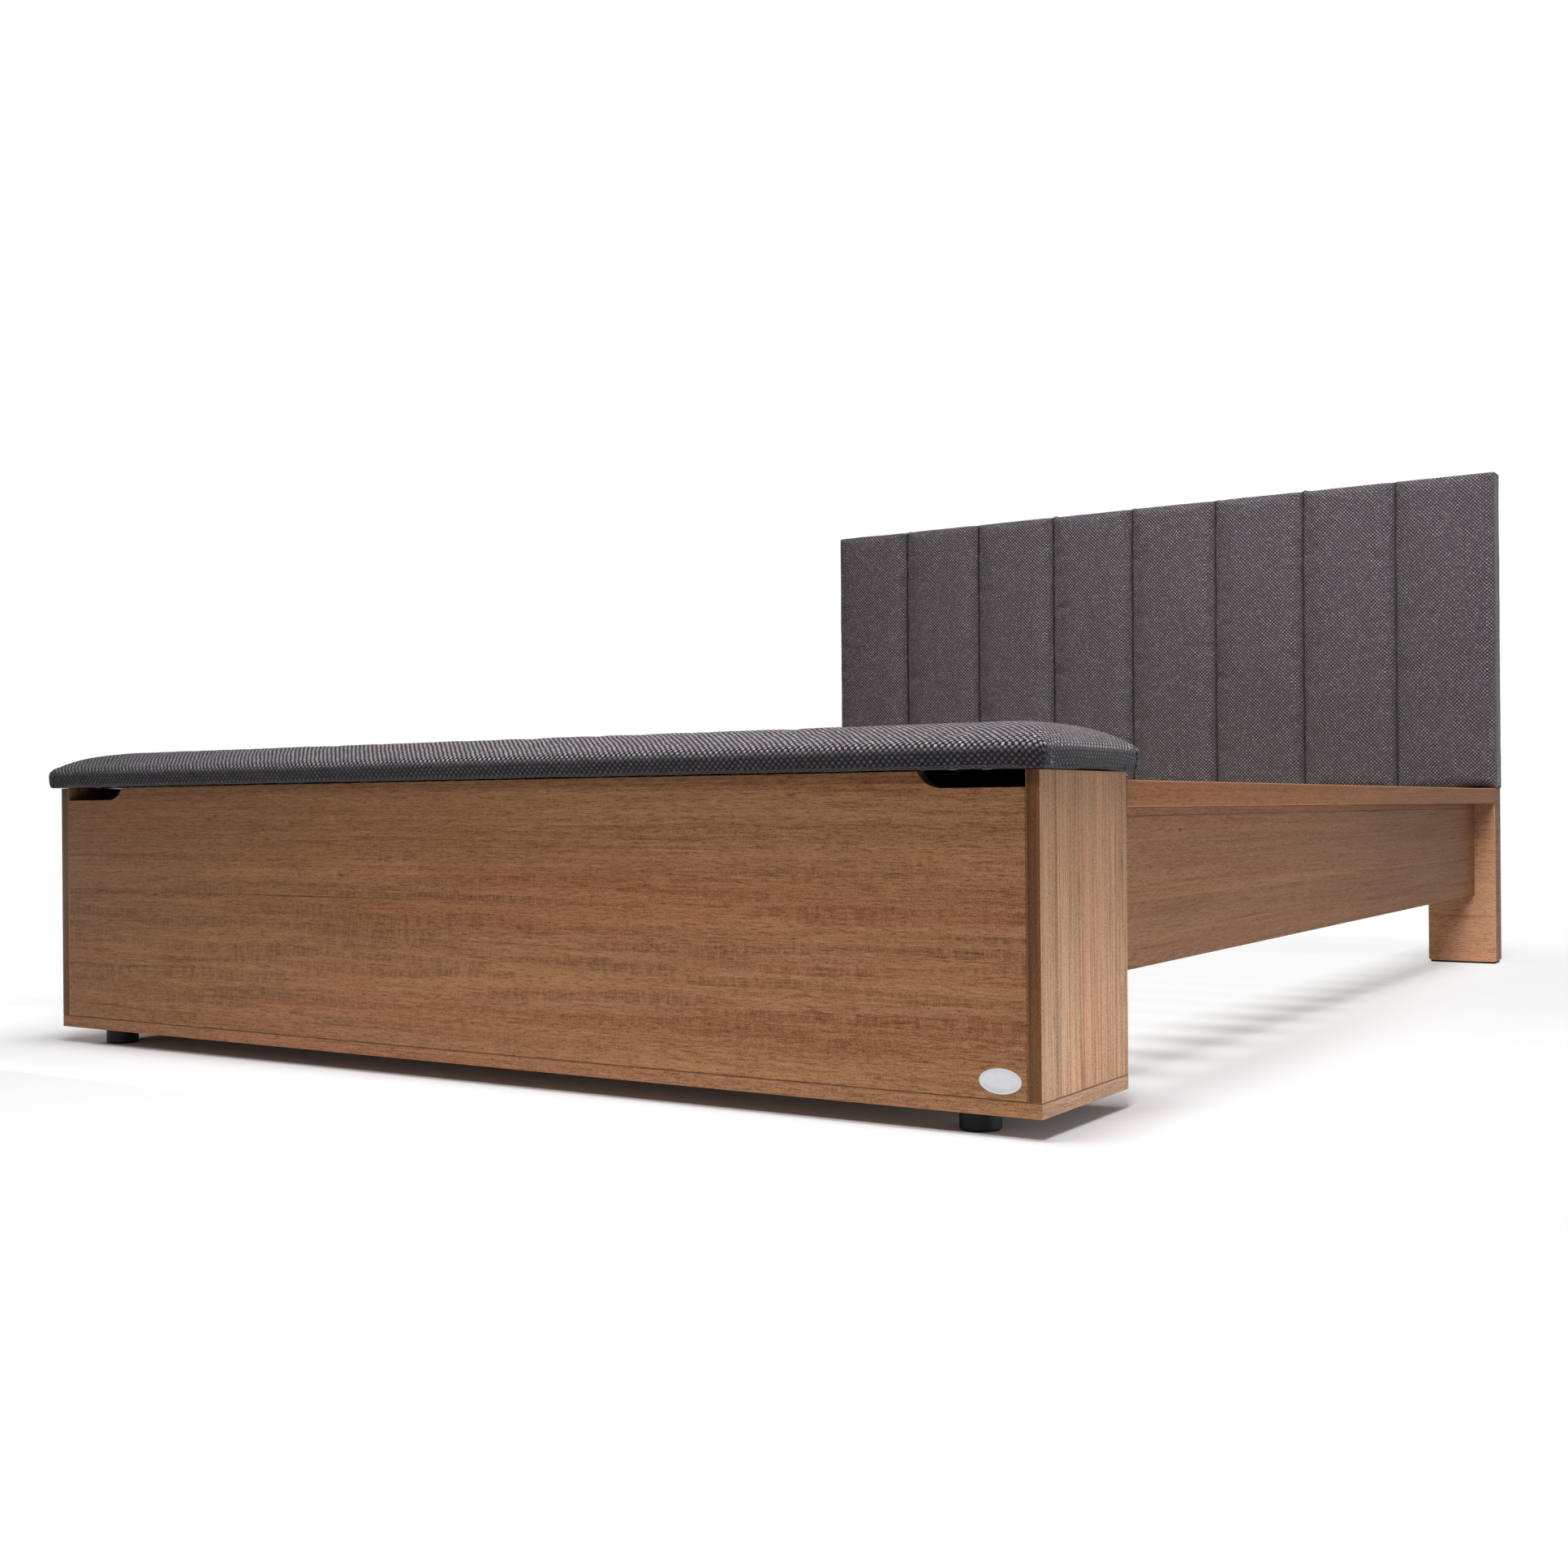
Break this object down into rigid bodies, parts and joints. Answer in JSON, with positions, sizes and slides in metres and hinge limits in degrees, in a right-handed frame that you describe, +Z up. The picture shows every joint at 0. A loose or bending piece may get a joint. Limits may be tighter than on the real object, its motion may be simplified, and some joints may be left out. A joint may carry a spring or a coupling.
{
  "type": "bed with blanket chest footboard",
  "caption": "Double bed frame with a padded, hinged-lid blanket chest as its footboard, capped side rails, slats and a channel-upholstered headboard.",
  "frame": {"origin": "on the floor, at the middle of the bed's outline", "axes": "+Y from the foot to the head, +X to the right of someone who stands at the foot facing the bed, +Z up"},
  "size_m": [1.5738, 2.2974, 1.008],
  "materials": {
    "walnut_veneer": "satin lacquered walnut-tone veneer, grain along the board",
    "walnut_veneer_upright": "satin lacquered walnut-tone veneer, grain upright",
    "charcoal_weave": "charcoal basket-weave upholstery cloth with light flecks",
    "black_lining": "black non-woven lining cloth",
    "black_plastic": "matt moulded black plastic",
    "clear_rubber": "translucent soft pad",
    "zinc_plated_steel": "zinc-plated pressed steel",
    "pine": "planed untreated pine",
    "raw_board": "raw particle board"
  },
  "bodies": {
    "bed": {"chest_bottom_panel": "walnut_veneer", "chest_side_left": "walnut_veneer_upright", "chest_side_right": "walnut_veneer_upright", "chest_front_panel": "walnut_veneer", "chest_back_panel": "walnut_veneer", "chest_feet": "black_plastic", "lid_bumpers": "clear_rubber", "hinge_fixed_leaves": "zinc_plated_steel", "hinge_pins": "zinc_plated_steel", "rail_board_left": "walnut_veneer", "rail_board_right": "walnut_veneer", "rail_cap_left": "walnut_veneer", "rail_cap_right": "walnut_veneer", "slat_ledge_left": "pine", "slat_ledge_right": "pine", "rail_brackets": "zinc_plated_steel", "bracket_bolts": "zinc_plated_steel", "centre_beam": "pine", "beam_brackets": "zinc_plated_steel", "centre_legs": "pine", "centre_leg_glides": "black_plastic", "slats": "pine", "headboard_leg_left": "walnut_veneer", "headboard_leg_right": "walnut_veneer", "headboard_glides": "black_plastic", "headboard_cross_rail": "walnut_veneer", "headboard_board": "raw_board", "headboard_frame": "pine", "headboard_back_cover": "black_lining", "headboard_upholstery": "charcoal_weave", "joining_plates": "zinc_plated_steel", "plate_screws": "zinc_plated_steel"},
    "lid": {"lid_board": "raw_board", "lid_cushion": "charcoal_weave", "hinge_lid_leaves": "zinc_plated_steel"}
  },
  "joints": [
    {"name": "lid_hinge", "type": "hinge", "parent": "bed", "child": "lid", "pos_m": [0, -0.90645, 0.3667], "axis": [-1, 0, 0], "range_deg": [0, 95]}
  ]
}
